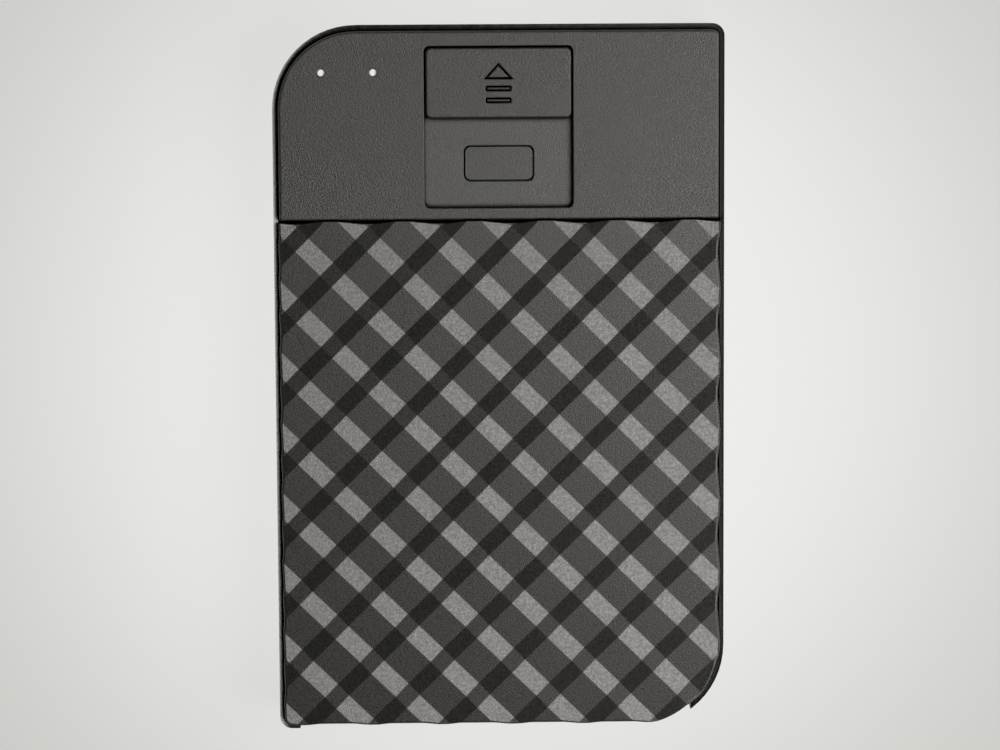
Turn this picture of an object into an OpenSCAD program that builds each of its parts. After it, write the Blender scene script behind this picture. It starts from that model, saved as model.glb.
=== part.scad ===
// Pocket hard drive with a sliding shutter over a fingerprint sensor.
// X runs across the case, Y towards the port end and Z up; the feet stand on Z = 0.

/* [Case] */
// Width of the case
case_w = 79; // [78:0.5:90]
// Length of the case
case_l = 124.5; // [123.5:0.5:136]
// Radius of the large corners, at the port end's left and the far end's right
big_r = 14.6; // [12:0.1:15]
// Radius of the two small corners
small_r = 2.2; // [2:0.1:3]
// Height of the tray from its underside to its rim
tray_h = 16; // [16:0.1:20]
// Thickness of the tray's floor
floor_t = 1.6; // [1.2:0.1:2]
// Thickness of the tray's walls
wall_t = 1.7; // [1.6:0.1:1.8]
// Thickness of the rim above the ledge
rim_t = 0.8; // [0.8:0.05:1]

/* [Relief of the cover] */
// Distance from one ridge to the next, across the ridge
pitch = 8.84; // [7.5:0.01:11]
// Height of one ramp; two cross to make the full relief
relief_h = 0.6; // [0.3:0.05:0.7]
// Width of the steep face that looks to the upper left
dark_w = 2.8; // [2:0.1:4]
// Width of the steep face that looks to the upper right
light_w = 3.2; // [2:0.1:4]
// How far the cover's edge draws in where the relief is high, by the relief's height
scallop_share = 0.68; // [0.2:0.02:0.8]

/* [Window and shutter] */
// Length of the flat panel from the port end to the seam
panel_l = 34.1; // [33.6:0.1:38]
// Width of the window
window_w = 26; // [24:0.1:27]
// Length of the window
window_l = 28.2; // [28:0.1:28.8]
// Length of the shutter along its slide
shutter_l = 12.2; // [11:0.1:13]
// Width of the fingerprint sensor
sensor_w = 12.1; // [10:0.1:14]
// Length of the fingerprint sensor
sensor_l = 6.1; // [5:0.1:7]

/* [Feet and screws] */
// Diameter of the rubber feet
foot_d = 7; // [6:0.1:7.4]
// How far the feet stand proud of the tray
foot_h = 0.8; // [0.5:0.1:1.5]
// Diameter of the case screws' thread
case_screw_d = 2; // [1.6:0.1:2.2]

/* [Disk drive] */
// Width of the drive
drive_w = 69.85; // [69.5:0.05:70]
// Length of the drive
drive_l = 100.2; // [100:0.05:100.5]
// Height of the drive
drive_h = 9.5; // [9.5:0.1:10.5]
// Radius of the disks
disk_r = 32.5; // [31.5:0.1:32.5]
// Thickness of a disk
disk_t = 0.64; // [0.5:0.01:0.8]
// Radius of the disks' bore
disk_bore_r = 10; // [9.5:0.1:10.5]
// Distance from the pivot to the heads
arm_l = 35; // [34:0.1:35.5]
// Angle that the arm swings through
swing = 33; // [20:1:33]

/* [Boards and port] */
// Thickness of the circuit boards
board_t = 1.2; // [0.8:0.1:1.4]
// Width of the port's metal shell
usb_w = 8.94; // [8.8:0.01:9.1]
// Height of the port's metal shell
usb_h = 3.26; // [3.1:0.01:3.4]
// Depth of the port's metal shell
usb_l = 7.3; // [6.5:0.1:7.8]

/* [Hidden] */
$fn = 64;

// Colours
tray_grey = "#3b3c3e";
cover_grey = "#47484a";
panel_grey = "#525355";
plate_grey = "#3e3f41";
sensor_black = "#17181a";
board_green = "#1f4d36";
rubber_black = "#1c1c1d";
steel = "#b9bcc0";
alloy = "#9a9da1";
chip_black = "#202124";
copper = "#b87333";
flex_amber = "#b5762a";
clear_white = "#e9eef0";
resin_white = "#d9d6cc";
foam_grey = "#55575a";
magnet_grey = "#8f9296";

// Clearances that several pieces share
overrun = 1;
fit_gap = 0.3;
slip_gap = 0.2;
hair_gap = 0.1;
sink = 0.3;
root2 = sqrt(2);

// Levels of the case
tray_z = foot_h;
floor_z = tray_z + floor_t;
rim_z = tray_z + tray_h;
ledge_drop = 1.6;
ledge_z = rim_z - ledge_drop;
panel_t = 1.35;
panel_rise = 1.75;
panel_top = rim_z + panel_rise;
panel_z = panel_top - panel_t;
lip_z = rim_z + slip_gap;
valley_rise = 0.95;
valley_z = rim_z + valley_rise;
cover_t = 1.45;
cover_under_z = valley_z - cover_t;

// Places along and across the case
half_w = case_w / 2;
half_l = case_l / 2;
seam_y = half_l - panel_l;
seam_gap = 0.3;
cover_end_y = seam_y - seam_gap / 2;
panel_end_y = seam_y + seam_gap / 2;
corners = [[-1, 1, big_r], [1, 1, small_r], [-1, -1, small_r], [1, -1, big_r]];
tight_r = 0.4;
tray_fillet = 1.2;
rim_fillet = 0.4;
panel_fillet = 0.45;
flange_in = rim_t + fit_gap;
flange_t = 1.2;

// The far end, where the cover's end wall comes down to a sill on the tray
arm_left = 3.6;
arm_right = 5.9;
bay_x0 = arm_left - half_w;
bay_x1 = half_w - arm_right;
bay_y = big_r - half_l;
sill_h = 4;
sill_z = tray_z + sill_h;
sill_in = 1.3;
sill_t = 1.5;
skirt_gap = 0.2;
skirt_z = sill_z + skirt_gap;
tongue_h = 2;
tongue_t = 1;

// Hooks under the cover and the panel, and their pockets in the tray
hook_w = 6;
hook_t = 1;
hook_reach = 3.6;
nose_h = 1.4;
nose_out = 0.65;
cover_hook_drops = [7, 35, 55];
panel_hook_rise = 6;
hook_ys = concat([for (d = cover_hook_drops) seam_y - d], [seam_y + panel_hook_rise]);

// Relief lattice: u crosses the dark ramps, v crosses the light ramps
ridge_from_side = 10.12;
ridge_from_seam = 11.45;
ridge_x = ridge_from_side - half_w;
ridge_y = seam_y - ridge_from_seam;
ridge_u = (ridge_x - ridge_y) / root2;
ridge_v = (ridge_x + ridge_y) / root2;
reach_far = (half_w + half_l) / root2;
reach_near = (half_w + seam_y) / root2;
peak_z = valley_z + 2 * relief_h;
edge_in = 0.94;
edge_step = 0.8;
edge_turns = 24;
small_turns = 5;
// Rounding of the cover's edge: how far down and in it reaches, and its middle ring's shares
edge_drop = 0.45;
edge_run = 0.45;
edge_mid_down_share = 0.3;
edge_mid_in_share = 0.3;
edge_over = 0.06;
edge_clear = 3;

// Window, shutter and sensor
window_top_in = 3.7;
window_y1 = half_l - window_top_in;
window_y0 = window_y1 - window_l;
window_r = 1;
channel_w = 0.9;
channel_h = 0.8;
shutter_gap = 0.3;
shutter_proud = 0.05;
shutter_lift = 0.15;
shutter_w = window_w - 2 * shutter_gap;
shutter_y1 = window_y1 - shutter_gap;
shutter_y0 = shutter_y1 - shutter_l;
shutter_travel = window_l - 2 * shutter_gap - shutter_l;
shutter_z = panel_z + shutter_lift;
shutter_top = panel_top + shutter_proud;
shutter_fillet = 0.35;
tongue_out = 0.6;
runner_t = 0.5;
arrow_w = 5.2;
arrow_h = 2.85;
arrow_line = 0.36;
arrow_in = 2.65;
groove_d = 0.5;
bar_w = 4.5;
bar_l = 0.96;
bar_line = 0.32;
bar_gap = 2.05;
bar_in = 7.1;
bar_round_share = 0.3;
plate_side = 3.7;
plate_w = window_w + 2 * plate_side;
plate_t = 1.2;
plate_top = panel_z;
plate_z = plate_top - plate_t;
plate_lap_low = 0.6;
plate_lap_high = 0.9;
plate_y0 = window_y0 - plate_lap_low;
plate_y1 = window_y1 + plate_lap_high;
stake_d = 1.4;
stake_in = 1.4;
stake_end_in = 2.6;
sensor_in = 7.75;
sensor_y = window_y0 + sensor_in;
sensor_r = 1;
sensor_drop = 0.2;
sensor_board_t = 0.8;
sensor_board_z = plate_z - sensor_board_t;
sensor_board_left = 10;
sensor_board_right = 14;
sensor_board_low = 5.8;
sensor_board_l = 14.6;
sensor_board_x0 = -sensor_board_left;
sensor_board_x1 = sensor_board_right;
sensor_board_y0 = sensor_y - sensor_board_low;
small_screw_d = 1.4;
small_head_d = 2.4;
small_head_h = 0.6;
small_screw_in = 1.9;

// Feet and case screws
foot_recess = 0.5;
foot_edge = 0.4;
foot_side = 5.3;
foot_end = 11;
screw_side = 5.1;
far_foot_end = 10;
far_foot_side = 9.5;
foot_x = half_w - foot_side;
foot_y = half_l - foot_end;
screw_x = half_w - screw_side;
screw_y = foot_y;
far_foot_y = half_l - far_foot_end;
far_foot_left_x = foot_x;
far_foot_right_x = half_w - far_foot_side;
boss_r = 2.5;
boss_foot_r = 3;
boss_foot_h = 2;
boss_split_h = 6.6;
boss_split_z = floor_z + boss_split_h;
head_d = 3.8;
head_h = 1.5;
head_room = 0.2;
screw_grip = 4;
seat_z = tray_z + foot_recess;
head_z = seat_z + head_room;

// Disk drive, in its own frame: X centred, Y from its far end, Z from its underside
end_room = 7;
pad_t = 0.6;
drive_y = end_room - half_l;
drive_z = floor_z + pad_t;
drive_end_y = drive_y + drive_l;
drive_top = drive_z + drive_h;
web_z = 1.9;
web_t = 1;
deck_z = web_z + web_t;
lid_t = 0.5;
gasket_t = 0.3;
lid_z = drive_h - lid_t;
wall_top = lid_z - gasket_t;
drive_corner_r = 2;
run_gap = 0.2;
spindle_in = 34.9;
cavity_gap = 0.8;
cavity_r = disk_r + cavity_gap;
pivot_x = 15.5;
pivot_up = 39;
pivot_in = spindle_in + pivot_up;
park_room = 8.5;
bay_wall = 1.7;
bay_up = 10.1;
bay_end = 7.2;
bay_left = pivot_x - arm_l - park_room;
bay_right = drive_w / 2 - bay_wall;
bay_low = spindle_in + bay_up;
bay_high = drive_l - bay_end;
bay_r = 5;
gasket_in = 0.3;
gasket_w = 0.9;
dish_r_share = 0.86;
dish_d = 0.2;
lid_screw_in = 3.1;
lid_screw_d = 1.6;
lid_head_d = 2.8;
lid_head_h = 0.35;
lid_screw_l = 3;
lid_left_in = 2.9;
lid_mid_drop = 4;
lid_left_x = lid_left_in - drive_w / 2;
lid_spots = [[lid_screw_in - drive_w / 2, lid_screw_in], [drive_w / 2 - lid_screw_in, lid_screw_in],
    [lid_left_x, pivot_in - lid_mid_drop], [lid_left_x, drive_l - lid_screw_in],
    [drive_w / 2 - lid_screw_in, drive_l - lid_screw_in], [pivot_x, pivot_in]];

// Spindle: disks, hub and motor
disk_lift = 1.4;
disk_z = deck_z + disk_lift;
disk_step = 2.6;
disk_top_z = disk_z + disk_step;
stack_top = disk_top_z + disk_t;
rest_w = 2.3;
rest_r = disk_bore_r + rest_w;
hub_flange_t = 0.7;
hub_skirt_out = 0.6;
hub_cup_in = 1.2;
hub_skirt_r = disk_bore_r + hub_skirt_out;
hub_cup_r = disk_bore_r - hub_cup_in;
hub_web_t = 1.24;
sleeve_r = 3.1;
shaft_r = 1.5;
bearing_gap = 0.05;
shaft_proud = 0.4;
shaft_top = stack_top + shaft_proud;
stator_gap = 0.4;
stator_hub_r = 5;
stator_teeth = 9;
tooth_w = 1.6;
shoe_w = 3.6;
shoe_t = 0.8;
tooth_rise = 0.45;
tooth_drop = 0.45;
winding_side = 0.35;
winding_end = 0.35;
clamp_t = 0.76;
clamp_bore_r = 3;
clamp_screw_r = 6;
clamp_screws_n = 4;
clamp_head_h = 0.35;

// Actuator: arms, coil and heads, turned by the parked angle about the pivot
park_a = 196;
post_r = 2.2;
post_gap = 0.05;
block_r = 5.6;
fly_gap = 0.12;
slider_h = 0.3;
slider_l = 1.2;
slider_w = 1;
plate_spring_t = 0.15;
head_gap = fly_gap + slider_h + plate_spring_t;
arm_end_share = 0.77;
arm_root_w = 8.4;
arm_tip_w = 4;
spring_start_share = 0.62;
spring_root_w = 3.6;
spring_tip_w = 1;
tab_l = 2.2;
coil_in_r = 6.4;
coil_out_r = 16.2;
coil_half_a = 15;
coil_hole_in_r = 9;
coil_hole_out_r = 13.8;
coil_hole_a = 8;
coil_t = 1.6;
prong_a = 2.5;
prong_out_r = 13;
block_z = deck_z + run_gap;
block_gap = 0.25;
block_top = lid_z - block_gap;
coil_z = (block_z + block_top) / 2 - coil_t / 2;
magnet_gap = 0.4;
yoke_t = 0.8;
yoke_in_r = 7;
yoke_out_r = 17;
yoke_over_a = 19;
yoke_a0 = park_a - 180 - yoke_over_a;
yoke_a1 = park_a - 180 + swing + yoke_over_a;
upper_yoke_z = lid_z - slip_gap - yoke_t;
pillar_r = 1;
pillar_ring_r = 17.9;
pillar_as = [25, 52];
ramp_start = 0.9;
ramp_l = 3.6;
ramp_wall_t = 1.3;
ramp_before_a = 7;
ramp_after_a = 2.5;
ramp_in_r = arm_l + ramp_start;
ramp_out_r = ramp_in_r + ramp_l;
ramp_wall_r = ramp_out_r - ramp_wall_t;
ramp_a0 = park_a - ramp_before_a;
ramp_a1 = park_a + ramp_after_a;
ramp_gap = 0.04;
filter_size = [9, 12, 4];
filter_side = 2;
filter_end = 4;
filter_x = bay_left + filter_side;
filter_y = bay_high - filter_end - filter_size[1];

// Drive's own board, connector and small parts
recess_side = 2.5;
recess_y0 = 47;
connector_x0 = -23.5;
connector_w = 33.5;
connector_x1 = connector_x0 + connector_w;
connector_l = 6;
connector_h = 5.2;
recess_y1 = drive_l - connector_l;
drive_board_t = 0.8;
drive_board_z = 0.5;
board_boss_r = 2;
board_screw_side = 6.925;
board_screw_shift = 4;
board_screw_end = 5.1;
board_screw_x = drive_w / 2 - board_screw_side;
board_screw_spots = [[-board_screw_x, recess_y0 + board_screw_end], [board_screw_x, recess_y0 + board_screw_end],
    [board_screw_x - board_screw_shift, recess_y1 - board_screw_end]];
tongue_drop = 2.6;
blade_t = 1.2;
blade_l = 3;
blade_in = 1.6;
blade_key_share = 0.34;
blade_key_gap = 2;

// Bumpers and foam between the drive and the case
bumper_l = 8;
bumper_lap = 5;
bumper_top = 1.2;
bumper_ins = [12, 62];
foam_size = [24, 30];
foam_in = 14;

// Bridge board, which joins the drive to the port
post_h = 2.8;
board_z = floor_z + post_h;
board_top = board_z + board_t;
board_gap = 0.6;
board_side_gap = 0.4;
board_wall_gap = 0.5;
board_x = screw_x - boss_r - board_side_gap;
board_y0 = drive_end_y + board_gap;
board_y1 = half_l - wall_t - board_wall_gap;
board_post_r = 2.2;
board_screw_d = 2;
board_head_d = 3.6;
board_head_h = 1.1;
board_screw_l = 3.4;
board_screw_spots_in = [[11.5, 5], [13.1, 4.6]];
usb_wall = 0.3;
usb_in = 0.5;
usb_y1 = half_l - usb_in;
usb_z = board_top + usb_h / 2;
port_gap = 0.35;
blade_w = 6.69;
blade_h = 0.7;
blade_back = 1.4;
blade_short = 1;
socket_l = 3.4;
socket_shelf = 2;
socket_wall = 1.2;
socket_h = 4.6;
socket_lift = 0.8;
socket_gap = 0.25;
socket_z = drive_z + socket_lift;
socket_y0 = drive_end_y + socket_gap;
led_d = 1.4;
led_flange_d = 2.6;
led_flange_h = 1;
led_ins = [8.65, 17.7];
led_end = 8.25;
led_xs = [for (i = led_ins) i - half_w];
led_y = half_l - led_end;
led_size = [0.8, 1.6, 0.6];
led_gap = 0.2;
ribbon_x = 10;
ribbon_w = 6;
ribbon_t = 0.2;
ribbon_bend = 1.5;
connector_size = [7.4, 2.2, 1.1];
ribbon_drop = 0.5;
ribbon_lap = 0.3;
ribbon_end = 8.65;
ribbon_z = sensor_board_z - ribbon_drop;
ribbon_y0 = sensor_board_y0 + sensor_board_l - ribbon_lap;
ribbon_y1 = half_l - ribbon_end;
// Chips, each as its distance in from the side and from the port end, then its three sizes
right_chips = [[18, 8.2, 7, 7, 1], [24, 4, 4, 3, 0.9]];
left_chips = [[26.5, 4.2, 5, 4, 1], [19, 4.4, 3.2, 2.5, 0.8]];
cap_n = 5;
cap_size = [1, 0.5, 0.5];
cap_step = 2;
cap_side = 24.5;
cap_x = half_w - cap_side;
cap_in = 12.6;

// Points on the lattice of the relief
function fall(t, steep) = t < pitch - steep ? 1 - t / (pitch - steep) : (t - pitch + steep) / steep;
function wrap(t) = t - pitch * floor(t / pitch);
function ramp_u(u) = relief_h * fall(wrap(u - ridge_u), dark_w);
function ramp_v(v) = relief_h * fall(wrap(ridge_v - v), light_w);
function relief(x, y) = ramp_u((x - y) / root2) + ramp_v((x + y) / root2);
function stops(start, second, low, high) =
    [for (i = [floor((low - start) / pitch) : ceil((high - start) / pitch)])
        each [start + i * pitch, start + i * pitch + second]];
us = stops(ridge_u, pitch - dark_w, -reach_near, reach_far);
vs = stops(ridge_v, light_w, -reach_far, reach_near);

// Inset outline of the case: corner radius and centre
function corner_r(c, inset) = max(c[2] - inset, tight_r);
function corner_at(c, inset) =
    let (r = corner_r(c, inset)) [c[0] * (half_w - inset - r), c[1] * (half_l - inset - r)];

module case_outline(inset) {
    difference() {
        square([case_w - 2 * inset, case_l - 2 * inset], center = true);
        for (c = corners) {
            r = corner_r(c, inset);
            at = corner_at(c, inset);
            translate([at[0] + c[0] * r, at[1] + c[1] * r])
                square(2 * r, center = true);
        }
    }
    for (c = corners)
        translate(corner_at(c, inset))
            circle(r = corner_r(c, inset));
}

module case_ring(outer_in, inner_in) {
    difference() {
        case_outline(outer_in);
        case_outline(inner_in);
    }
}

// A slab with filleted edges: spots are [x, y, corner radius]
function arc_points(x, z, r, from, to, n) = [for (i = [0 : n]) let (a = from + (to - from) * i / n)
    [x + r * cos(a), z + r * sin(a)]];

module soft_slab(spots, low, high, low_r, high_r) {
    fillet_n = 4;
    hull()
        for (s = spots)
            translate([s[0], s[1], 0])
                rotate_extrude($fn = 56)
                    polygon(concat(
                        [[0, low]],
                        low_r > 0 ? arc_points(s[2] - low_r, low + low_r, low_r, -90, 0, fillet_n) : [[s[2], low]],
                        high_r > 0 ? arc_points(s[2] - high_r, high - high_r, high_r, 0, 90, fillet_n) : [[s[2], high]],
                        [[0, high]]));
}

module round_rect(size, r) {
    difference() {
        square(size, center = true);
        for (x = [-1, 1])
            for (y = [-1, 1])
                translate([x * size[0] / 2, y * size[1] / 2])
                    square(2 * r, center = true);
    }
    for (x = [-1, 1])
        for (y = [-1, 1])
            translate([x * (size[0] / 2 - r), y * (size[1] / 2 - r)])
                circle(r = r);
}

module ring_sector(inner_r, outer_r, from, to) {
    reach = 2 * outer_r;
    intersection() {
        difference() {
            circle(r = outer_r);
            circle(r = inner_r);
        }
        polygon([[0, 0], [reach * cos(from), reach * sin(from)],
            [reach * cos((from + to) / 2), reach * sin((from + to) / 2)],
            [reach * cos(to), reach * sin(to)]]);
    }
}

// A flat-sided oval along Y, round at its two sides
module stadium(w, h, l) {
    side = (w - h) / 2;
    translate([-side, 0, -h / 2])
        cube([2 * side, l, h]);
    for (x = [-side, side])
        translate([x, 0, 0])
            rotate([-90, 0, 0])
                cylinder(d = h, h = l);
}

// A screw with its head's seat at Z = 0, head up and shank down
module screw(d, l, head_w, head_t) {
    slot_w_share = 0.16;
    slot_l_share = 0.6;
    slot_w = head_w * slot_w_share;
    slot_l = head_w * slot_l_share;
    difference() {
        union() {
            cylinder(d = head_w, h = head_t);
            translate([0, 0, -l])
                cylinder(d = d, h = l + head_t / 2);
        }
        for (a = [0, 90])
            rotate(a)
                translate([-slot_l / 2, -slot_w / 2, head_t / 2])
                    cube([slot_l, slot_w, head_t]);
    }
}

module both_sides() {
    children();
    mirror([1, 0, 0])
        children();
}

// Case

module far_bay(inset, low, high) {
    translate([bay_x0 + inset, -half_l - overrun, low])
        cube([bay_x1 - bay_x0 - 2 * inset, bay_y + half_l + overrun, high - low]);
}

module hook_pocket(y) {
    back = half_w - wall_t + nose_out - hair_gap;
    translate([back - overrun, y - hook_w / 2 - slip_gap, ledge_z - hook_reach - slip_gap])
        cube([overrun, hook_w + 2 * slip_gap, nose_h + 2 * slip_gap]);
}

module hook(y) {
    wall_x = half_w - wall_t - slip_gap;
    low = ledge_z - hook_reach;
    lead_share = 0.6;
    translate([0, y + hook_w / 2, 0])
        rotate([90, 0, 0])
            linear_extrude(hook_w)
                polygon([[wall_x, low], [wall_x + nose_out, low + nose_h * lead_share], [wall_x + nose_out, low + nose_h],
                    [wall_x, low + nose_h], [wall_x, ledge_z + flange_t], [wall_x - hook_t, ledge_z + flange_t],
                    [wall_x - hook_t, low]]);
}

module base_tray() color(tray_grey) {
    difference() {
        union() {
            difference() {
                soft_slab([for (c = corners) concat(corner_at(c, 0), [corner_r(c, 0)])], tray_z, rim_z, tray_fillet, rim_fillet);
                translate([0, 0, floor_z])
                    linear_extrude(tray_h)
                        case_outline(wall_t);
                translate([0, 0, ledge_z])
                    linear_extrude(tray_h)
                        case_outline(rim_t);
                far_bay(0, sill_z, rim_z + overrun);
            }
            tray_sill();
            both_sides()
                tray_boss();
            bridge_posts();
        }
        difference() {
            far_bay(0, 0, rim_z);
            linear_extrude(rim_z)
                case_outline(sill_in);
        }
        both_sides()
            for (y = hook_ys)
                hook_pocket(y);
        for (spot = foot_spots())
            translate([spot[0], spot[1], 0])
                cylinder(d = foot_d, h = seat_z);
        both_sides()
            translate([screw_x, screw_y, 0]) {
                cylinder(d = head_d + slip_gap, h = head_z + head_h);
                cylinder(d = case_screw_d + slip_gap, h = boss_split_z + overrun);
            }
        for (spot = bridge_spots())
            translate([spot[0], spot[1], floor_z - sink])
                cylinder(d = board_screw_d, h = post_h + overrun);
        translate([0, half_l - wall_t - overrun, usb_z])
            stadium(usb_w + 2 * port_gap, usb_h + 2 * port_gap, wall_t + 2 * overrun);
    }
}

// Sill under the cover's end wall, with a tongue that stands behind it
module tray_sill() {
    intersection() {
        translate([0, 0, tray_z + tray_fillet])
            linear_extrude(sill_h - tray_fillet)
                case_ring(sill_in, sill_in + sill_t);
        far_bay(-sink, tray_z, sill_z);
    }
    intersection() {
        translate([0, 0, floor_z - sink])
            linear_extrude(sill_z + tongue_h - floor_z + sink)
                case_ring(flange_in + flange_t + slip_gap, flange_in + flange_t + slip_gap + tongue_t);
        translate([bay_x0 + fit_gap, -half_l, tray_z])
            cube([half_w - big_r - bay_x0, big_r, tray_h]);
    }
}

module tray_boss() {
    translate([screw_x, screw_y, floor_z - sink]) {
        cylinder(r = boss_foot_r, h = boss_foot_h + sink);
        cylinder(r = boss_r, h = boss_split_z - floor_z + sink);
    }
}

function bridge_spots() = [[board_screw_spots_in[0][0] - half_w, half_l - board_screw_spots_in[0][1]],
    [half_w - board_screw_spots_in[1][0], half_l - board_screw_spots_in[1][1]]];

module bridge_posts() {
    for (spot = bridge_spots())
        translate([spot[0], spot[1], floor_z - sink])
            cylinder(r = board_post_r, h = post_h + sink);
}

// The relief as one closed block: lattice points on top, a flat underside
module relief_block() {
    nu = len(us);
    nv = len(vs);
    base = skirt_z - overrun;
    top = [for (u = us) for (v = vs) [(u + v) / root2, (v - u) / root2, valley_z + ramp_u(u) + ramp_v(v)]];
    ring = concat([for (i = [0 : nu - 2]) [i, 0]], [for (j = [0 : nv - 2]) [nu - 1, j]],
        [for (i = [nu - 1 : -1 : 1]) [i, nv - 1]], [for (j = [nv - 1 : -1 : 1]) [0, j]]);
    low = [for (r = ring) [(us[r[0]] + vs[r[1]]) / root2, (vs[r[1]] - us[r[0]]) / root2, base]];
    n = nu * nv;
    m = len(ring);
    mid_u = (us[0] + us[nu - 1]) / 2;
    mid_v = (vs[0] + vs[nv - 1]) / 2;
    middle = [(mid_u + mid_v) / root2, (mid_v - mid_u) / root2, base];
    function at(i, j) = i * nv + j;
    function over(k) = at(ring[k % m][0], ring[k % m][1]);
    quads = [for (i = [0 : nu - 2]) for (j = [0 : nv - 2])
        [at(i, j), at(i, j + 1), at(i + 1, j + 1), at(i + 1, j)]];
    sides = [for (k = [0 : m - 1])
        each [[over(k), n + (k + 1) % m, n + k], [over(k), over(k + 1), n + (k + 1) % m]]];
    under = [for (k = [0 : m - 1]) [n + k, n + (k + 1) % m, n + m]];
    polyhedron(concat(top, low, [middle]), concat(quads, sides, under), convexity = 8);
}

// Points round the cover's edge at an inset, as [x, y, outward x, outward y]
function rim_side(p, q, n, nx, ny) = [for (k = [1 : n - 1]) let (s = p + (q - p) * k / n) [s[0], s[1], nx, ny]];
function rim_arc(c, r, from, n) = [for (k = [0 : n]) let (a = from + 90 * k / n)
    [c[0] + r * cos(a), c[1] + r * sin(a), cos(a), sin(a)]];
far_left = corners[2];
far_right = corners[3];
right_steps = ceil((cover_end_y - bay_y) / edge_step);
left_steps = ceil((cover_end_y + half_l) / edge_step);
end_steps = ceil((case_w - big_r) / edge_step);
function rim_points(inset) =
    let (x = half_w - inset, y = inset - half_l,
        left = corner_at(far_left, inset), right = corner_at(far_right, inset))
            concat(rim_side([x, right[1]], [x, cover_end_y], right_steps, 1, 0),
                [[x, cover_end_y, 1, 0], [-x, cover_end_y, -1, 0]],
                rim_side([-x, cover_end_y], [-x, left[1]], left_steps, -1, 0),
                rim_arc(left, corner_r(far_left, inset), 180, small_turns),
                rim_side([left[0], y], [right[0], y], end_steps, 0, -1),
                rim_arc(right, corner_r(far_right, inset), 270, edge_turns));

// The cover's outside: walls that draw in where the relief is high, and a rounding that follows it
module edge_block() {
    // Each ring: how far in, its height, and 1 where that is over the relief
    rings = [[0, skirt_z, 0], [0, valley_z - edge_drop, 1],
        [edge_mid_in_share * edge_run, valley_z - edge_mid_down_share * edge_drop, 1],
        [edge_run, valley_z + edge_over, 1], [edge_clear, peak_z + overrun, 0]];
    points = [for (r = rings) for (p = rim_points(edge_in + r[0]))
        let (d = scallop_share * (relief_h - relief(p[0], p[1])), x = p[0] + p[2] * d, y = p[1] + p[3] * d)
            [x, y, r[1] + r[2] * relief(x, y)]];
    n = len(points);
    m = n / len(rings);
    mid_y = (cover_end_y - half_l) / 2;
    floor_fan = [for (k = [0 : m - 1]) [k, (k + 1) % m, n]];
    wall = [for (r = [0 : len(rings) - 2]) for (k = [0 : m - 1])
        let (a = r * m + k, b = r * m + (k + 1) % m)
            each [[a, b + m, b], [a, a + m, b + m]]];
    top_fan = [for (k = [0 : m - 1]) [n - m + (k + 1) % m, n - m + k, n + 1]];
    polyhedron(concat(points, [[0, mid_y, skirt_z], [0, mid_y, peak_z + overrun]]),
        concat(floor_fan, wall, top_fan), convexity = 6);
}

module pattern_cover() color(cover_grey) {
    difference() {
        intersection() {
            relief_block();
            edge_block();
        }
        translate([0, 0, skirt_z - overrun])
            linear_extrude(cover_under_z - skirt_z + overrun)
                case_outline(flange_in + flange_t);
        cover_trim(flange_in, lip_z);
        cover_trim(half_w, ledge_z);
    }
    both_sides()
        for (d = cover_hook_drops)
            hook(seam_y - d);
}

// What is cut from under the cover's edge, all but the end wall in its bay
module cover_trim(inset, top) {
    low = skirt_z - overrun;
    difference() {
        translate([-case_w, -case_l, low])
            cube([2 * case_w, 2 * case_l, top - low]);
        if (inset < half_w)
            translate([0, 0, low - overrun])
                linear_extrude(top - low + 2 * overrun)
                    case_outline(inset);
        far_bay(fit_gap, low - overrun, top + overrun);
    }
}

// Panel

module panel_slab() {
    end_r = panel_fillet + hair_gap;
    port = [for (c = [corners[0], corners[1]]) concat(corner_at(c, flange_in), [corner_r(c, flange_in)])];
    seam = [for (x = [-1, 1]) [x * (half_w - flange_in - end_r), panel_end_y + end_r, end_r]];
    soft_slab(concat(port, seam), panel_z, panel_top, 0, panel_fillet);
}

function stake_spots() = [for (x = [-1, 1]) for (y = [plate_y0 + stake_end_in, plate_y1 - stake_end_in])
    [x * (plate_w / 2 - stake_in), y]];

module control_panel() color(panel_grey) {
    difference() {
        union() {
            panel_slab();
            panel_flange();
            panel_lap();
            both_sides()
                translate([screw_x, screw_y, boss_split_z])
                    cylinder(r = boss_r, h = panel_z - boss_split_z + sink);
            for (spot = stake_spots())
                translate([spot[0], spot[1], plate_z - sink])
                    cylinder(d = stake_d, h = plate_t + 2 * sink);
            both_sides()
                hook(seam_y + panel_hook_rise);
        }
        translate([0, (window_y0 + window_y1) / 2, panel_z - overrun])
            linear_extrude(panel_t + 2 * overrun)
                round_rect([window_w, window_l], window_r);
        translate([-window_w / 2 - channel_w, window_y0, panel_z - overrun])
            cube([window_w + 2 * channel_w, window_l, channel_h + overrun]);
        for (x = led_xs)
            translate([x, led_y, panel_z - overrun])
                cylinder(d = led_d, h = panel_t + 2 * overrun);
        both_sides()
            translate([screw_x, screw_y, boss_split_z - overrun])
                cylinder(d = case_screw_d, h = screw_grip + overrun + slip_gap);
    }
}

module panel_flange() {
    translate([0, 0, ledge_z])
        linear_extrude(panel_z - ledge_z + sink)
            intersection() {
                case_ring(flange_in, flange_in + flange_t);
                translate([-half_w, panel_end_y])
                    square([case_w, panel_l]);
            }
}

// Wall along the seam, with a lap that reaches under the cover's edge
lap_t = 1;
lap_l = 2.5;
lap_wall_t = 1.2;
lap_x = half_w - flange_in - flange_t;
module panel_lap() {
    translate([-lap_x - sink, panel_end_y, cover_under_z - slip_gap - lap_t])
        cube([2 * (lap_x + sink), lap_wall_t, panel_z + sink - cover_under_z + slip_gap + lap_t]);
    translate([fit_gap - lap_x, panel_end_y - lap_l, cover_under_z - slip_gap - lap_t])
        cube([2 * (lap_x - fit_gap), lap_l + sink, lap_t]);
}

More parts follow.
